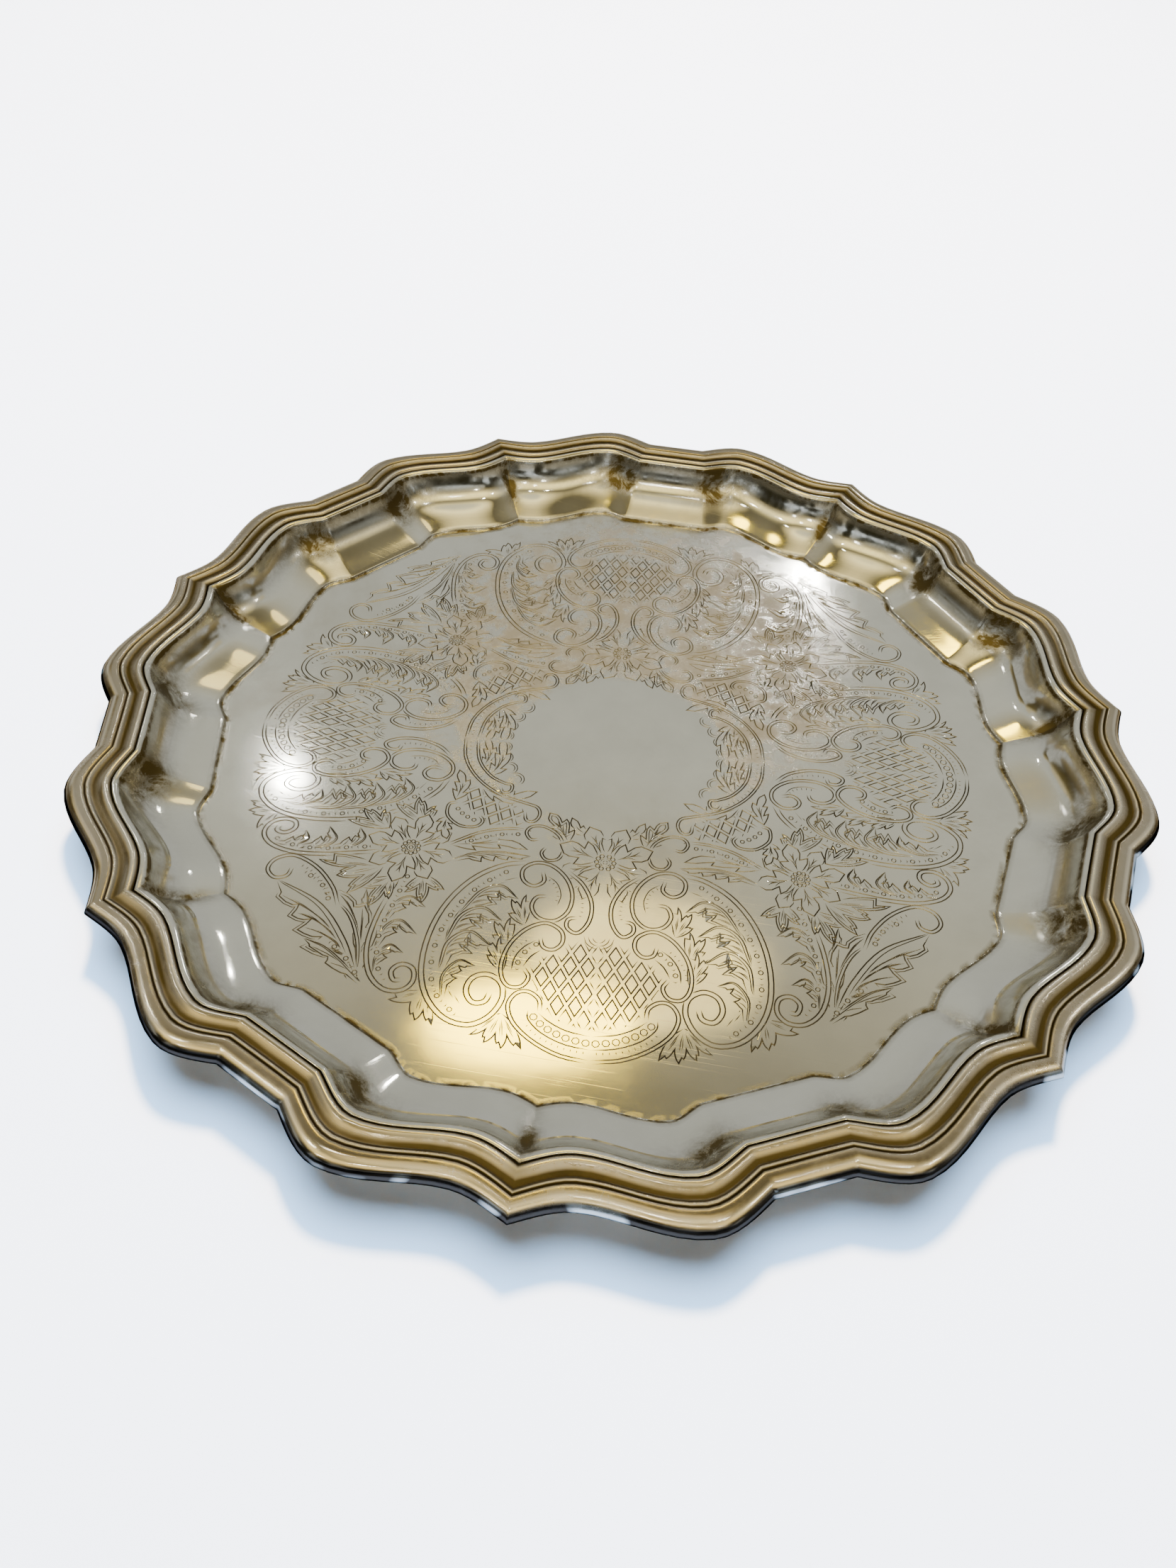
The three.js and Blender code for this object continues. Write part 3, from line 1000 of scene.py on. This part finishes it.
def level_points(edge, samples):
    """Points of plain floor between the cuts, so that no flat stretch leans on a cut's edge."""
    spacing = 3.2
    past_floor = RIM_RADIUS * 0.78
    just_inside = 0.98
    taken = {(int(x // 1), int(y // 1)) for x, y, _ in samples}
    reach = np.arange(-past_floor, past_floor, spacing)
    x, y = (a.ravel() for a in np.meshgrid(reach, reach))
    x = x + spacing / 2 * (np.round(y / spacing) % 2)
    points = np.stack([x, y], 1)
    points = points[inside(points, edge * just_inside)]
    kept = []
    for a, b in points:
        i, j = int(a // 1), int(b // 1)
        if not taken & {(i, j), (i + 1, j), (i - 1, j), (i, j + 1), (i, j - 1)}:
            kept.append((a, b))
    return kept


def floor_plan(edge):
    """The floor's points and lines from above, and samples (x, y, width) along the middle of its cuts."""
    flat, lines, samples = [], [], []
    for inward in (0, EDGE_STAIN):
        first, n = len(flat), len(edge)
        flat += [tuple(p) for p in edge * (1 - inward / FLOOR_RADIUS)]
        lines += [(first + i, first + (i + 1) % n) for i in range(n)]
    for stroke, width in strokes:
        p = thinned(stroke)
        w = widths_along(p, width)
        for q in all_quarters(p):
            side = side_steps(q)
            for offset in (-0.5, 0, 0.5):
                line = q + side * (offset * w)[:, None]
                first = len(flat)
                flat += [tuple(v) for v in line]
                lines += [(first + i, first + i + 1) for i in range(len(line) - 1)]
            fine = resampled(q, SAMPLE_STEP)
            steps = lengths_along(q)
            local = np.interp(np.linspace(0, steps[-1], len(fine)), steps, w)
            samples += [(x, y, cut_width) for (x, y), cut_width in [*zip(fine, local), *zip(q, w)]]
    return flat + level_points(edge, samples), lines, samples


def cut_depth(place, tree, samples):
    """How deep the floor is cut at a place: V-shaped across each cut, and 0 at its edges."""
    deepest = 0.0
    for _, j, away in tree.find_range(place, BOLD / 2):
        width = samples[j][2]
        if away < width * 0.45:
            deepest = max(deepest, GROOVE_SLOPE * width * (1 - away / (width / 2)))
    return deepest


def chased_floor(edge):
    """Vertices and faces of the floor inside its edge, and which faces are the sides of cuts."""
    draw_pattern()
    flat, lines, samples = floor_plan(edge[:, :2])
    vertices, _, faces, *_ = delaunay_2d_cdt([Vector(v) for v in flat], lines, [], 1, 1e-5)
    tree = KDTree(len(samples))
    for i, (x, y, _) in enumerate(samples):
        tree.insert((x, y, 0), i)
    tree.balance()
    depth = np.array([cut_depth((v.x, v.y, 0), tree, samples) for v in vertices])
    points = np.column_stack([[v.x for v in vertices], [v.y for v in vertices], FLOOR_TOP - depth])
    cut = np.zeros(len(faces), bool)
    for i, face in enumerate(faces):
        if max(depth[v] for v in face) > SHALLOWEST_CUT:
            x, y, _ = points[face].mean(0)
            _, j, away = tree.find((x, y, 0))
            cut[i] = away < samples[j][2] / 2
    return points, faces, cut


# --- Pieces ---


def facing_up(floor, face):
    """The face's corners, run anticlockwise as seen from above."""
    sides = zip(face, face[1:] + face[:1])
    area = sum(floor[a][0] * floor[b][1] - floor[b][0] * floor[a][1] for a, b in sides)
    return face if area > 0 else face[::-1]


def dish():
    """The pressed sheet: its top side in to the floor, its underside back out, and both floors."""
    top = join(FLANGE, smooth(INNER_BAND, 2), smooth(WALL, 2), smooth(FLOOR_STEP, 2))
    under = underside(top[::4])
    under[-1] = (WELL_INSET + SHEET / 2, -RIM_PLANE)  # the underside is flat
    section = np.vstack([top, under[::-1]])
    rows, top_rows = len(section), len(top)
    shell = carried_round(section)
    faces = np.concatenate([strip_faces(rows, 0, top_rows - 1), strip_faces(rows, top_rows, rows)], 1)
    faces = faces.reshape(-1, 4).tolist()
    under_edge, under_centre = top_rows * STATIONS, len(shell)
    faces += [[under_edge + (i + 1) % STATIONS, under_edge + i, under_centre] for i in range(STATIONS)]

    edge = shell[under_edge - STATIONS : under_edge]
    floor, floor_faces, cut = chased_floor(edge)
    first_vertex, first_face = under_centre + 1, len(faces)
    faces += [[first_vertex + i for i in facing_up(floor, face)] for face in floor_faces]
    piece = new_piece("tray_dish", np.vstack([shell, [[0, 0, 0]], floor]), faces)

    from_edge = np.linalg.norm(floor[:, None, :2] - edge[::2, :2], axis=2).min(1)
    # Tarnish and painted shade round the shell, and tarnish along the floor's edge
    paint(piece, "tarnish_and_shade", np.concatenate([tarnish_and_shade_on(section), [0], 0.8 * (from_edge < EDGE_STAIN * 0.7)]))
    rounded = np.ones(len(faces), bool)
    rounded[first_face - STATIONS :] = False  # both floors are flat
    piece.data.polygons.foreach_set("use_smooth", rounded)
    slots = np.zeros(len(faces), np.int32)
    slots[first_face:][cut] = 1
    piece.data.polygons.foreach_set("material_index", slots)
    weld(piece.data)
    return piece


def border():
    section = join(smooth(OUTER_BAND, 3), smooth(FILLET, 3), smooth(COVE, 3), LIP)
    piece = ring_piece("rim_border", section, 50)
    # Tarnish and painted shade in the border's grooves and cove
    paint(piece, "tarnish_and_shade", tarnish_and_shade_on(section))
    # Painted shade, with painted highlights, on the turned-down outer side
    paint(piece, "shade", skirt_shade(section))
    # Crests lighter: polish from rubbing, and a painted highlight
    paint(piece, "crest", crest_on(section))
    return piece


def edge_wire():
    turn = np.linspace(0, 2 * math.pi, WIRE_SIDES, endpoint=False)
    x, z = WIRE_CENTRE
    section = np.stack([x - WIRE_RADIUS * np.cos(turn), z + WIRE_RADIUS * np.sin(turn)], 1)
    return ring_piece("rim_wire", section, 60)


tray = dish()
tray.data.materials.append(plated("dish_plate", 0.12, HAZE_CENTRE))
tray.data.materials.append(groove_metal("chased_lines"))
rim = border()
border_plate = plated("border_plate", 1.25, gloss=0.14, tarnish_and_shade_noise=(22, 3), least_kept=0.8, swell_strength=0.02,
                      edge_tint=(0.2, 0.19, 0.17))
rim.data.materials.append(border_plate)
wire = edge_wire()
wire.data.materials.append(plated("wire_brass", 1.3, reads_tarnish_and_shade=False, gloss=0.2))
for piece, node in ((tray, "dish"), (rim, "border"), (wire, "edge_wire")):
    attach(piece, "root")
    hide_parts(node)


# --- Stage, light and camera ---


def table_top():
    half = 3000.0
    corners = np.array([(-half, -half, 0), (half, -half, 0), (half, half, 0), (-half, half, 0)])
    top = new_piece("table_top", corners, [(0, 1, 2, 3)])
    top.data.materials.append(pale_top("pale_top"))
    top.location.z = -0.0002  # just clear of the tray's underside


# The room's colour by height, as a share of the way from level to straight up: what the tray's polished floor
# mirrors towards the camera, and what its far wall mirrors from behind the camera.
OVERHEAD = (1.0, (1.1, 1.0, 0.7))
AHEAD = [(0.0, (0.62, 0.62, 0.6)), (0.25, (0.6, 0.6, 0.56)), (0.42, (0.66, 0.66, 0.6)),
         (0.52, (0.7, 0.69, 0.6)), (0.61, (0.6, 0.55, 0.41)), (0.69, (0.3, 0.26, 0.16)),
         (0.77, (0.18, 0.15, 0.08)), (0.83, (1.5, 1.2, 0.55)), (0.88, (2.4, 2.0, 1.0)),
         (0.93, (1.4, 1.25, 0.8)), OVERHEAD]
BEHIND_HIGH = [(0.5, (0.8, 0.66, 0.36)), (0.58, (2.9, 2.35, 1.0)), (0.67, (2.6, 2.1, 0.9)),
               (0.76, (0.38, 0.32, 0.17)), (0.88, (0.85, 0.72, 0.38)), OVERHEAD]
BEHIND = [(0.0, (0.3, 0.27, 0.2)), (0.14, (0.03, 0.025, 0.01)), (0.42, (0.03, 0.025, 0.008)), *BEHIND_HIGH]
WINDOWS = [(0.0, (0.4, 0.35, 0.25)), (0.14, (0.55, 0.5, 0.38)), (0.28, (1.1, 1.2, 1.3)),
           (0.42, (0.6, 0.56, 0.42)), *BEHIND_HIGH]
SIDES = [(0.0, (0.5, 0.43, 0.29)), (0.1, (0.34, 0.26, 0.12)), (0.22, (0.07, 0.05, 0.015)),
         (0.34, (0.16, 0.12, 0.04)), (0.4, (0.75, 0.64, 0.38)), (0.52, (0.66, 0.63, 0.52)),
         (0.69, (0.32, 0.27, 0.17)), (0.84, (1.1, 0.95, 0.58)), OVERHEAD]
BACKDROP = (2.6, 2.65, 2.7)  # what is seen behind the table itself


def room():
    """A soft room: pale ahead, darker with windows behind the camera, and furniture at the sides."""
    world = bpy.data.worlds.new("room")
    world.use_nodes = True
    bpy.context.scene.world = world
    tree = NodeTree(world.node_tree)
    towards = tree.add("TexCoord").outputs["Generated"]
    split = tree.add("SeparateXYZ", {0: towards}).outputs
    height = tree.calculate("DIVIDE", tree.calculate("ARCSINE", split["Z"]), math.pi / 2)
    openings = tree.patches(towards, (3.4, 1.5), (0.47, 0), (0.53, 1))
    behind = tree.mixed(openings, tree.ramp(height, *BEHIND), tree.ramp(height, *WINDOWS))
    sideways = tree.ramp(tree.calculate("ABSOLUTE", split["X"]), (0.42, 0), (0.62, 1))
    furniture = tree.patches(towards, (2.6, 1.5), (0.44, 0), (0.5, 1))
    beside_it = tree.times(sideways, furniture)
    ahead = tree.mixed(beside_it, tree.ramp(height, *AHEAD), tree.ramp(height, *SIDES))
    depth = tree.calculate("ADD", tree.times(split["Y"], 0.5), 0.5)
    room_colour = tree.mixed(tree.ramp(depth, (0.35, 0), (0.6, 1)), behind, ahead)
    seen_directly = tree.add("LightPath").outputs["Is Camera Ray"]
    background = tree.nodes["Background"].inputs
    tree.put(background["Color"], tree.mixed(seen_directly, room_colour, BACKDROP))
    background["Strength"].default_value = 1.0
    world.cycles_visibility.diffuse = False


def area_light(name, azimuth, elevation, distance, size, power, colour, above=(0, 0)):
    """A soft disc or ellipse, set in a direction from a point of the tray, in rim radii, and aimed at it."""
    light = bpy.data.lights.new(name, "AREA")
    if isinstance(size, tuple):
        light.shape = "ELLIPSE"
        light.size, light.size_y = size
    else:
        light.shape = "DISK"
        light.size = size
    light.energy = power
    light.color = colour
    lamp = new_object(name, light)
    a, e = math.radians(azimuth), math.radians(elevation)
    place = Vector((math.sin(a) * math.cos(e), math.cos(a) * math.cos(e), math.sin(e))) * distance
    lamp.location = place + Vector((*above, 0)) * RIM_RADIUS * MM
    lamp.rotation_euler = place.to_track_quat("Z", "Y").to_euler()
    return lamp


# Small lamps behind the camera and at its sides, by azimuth and elevation.
DOWNLIGHTS = [(160, 58), (185, 50), (205, 62), (225, 47), (140, 45), (95, 55), (110, 70), (260, 60),
        (285, 48), (70, 44), (-75, 72), (180, 76)]

table_top()
room()
area_light("ceiling_panel", -13, 62.0, 1.5, (0.32, 0.13), 1.45, (1.0, 0.7, 0.05))
area_light("ceiling_glow", 0, 58, 1.5, (0.36, 0.2), 0.38, (1.0, 0.76, 0.25))
fill = area_light("daylight", -10, 70, 2.0, 2.4, 260, (0.34, 0.62, 1.0))
key = area_light("sunlit_ceiling", -5, 58, 2.0, 0.3, 240, (1.0, 0.8, 0.6))
for lamp in (fill, key):
    lamp.visible_glossy = False
area_light("lamp_left", -27.5, 46.1, 2.0, 0.05, 0.45, (1.0, 0.98, 0.95), (-0.601, -0.198))
area_light("lamp_right", 4.7, 36.9, 2.0, 0.05, 1.0, (1.0, 0.98, 0.95), (0.344, 0.609))
for azimuth, elevation in DOWNLIGHTS:
    area_light("downlight", azimuth, elevation, 2.0, 0.045, 0.7, (1.0, 0.97, 0.88))

camera = new_object("camera", bpy.data.cameras.new("camera"))
camera.data.lens = 27.73
camera.data.sensor_width = 36
camera.data.clip_start = 0.01
camera.location = (0.0247, -0.2610, 0.2702)
camera.rotation_euler = Euler([math.radians(a) for a in (42.5, -2.32, 9.59)], "XYZ")
bpy.context.scene.camera = camera
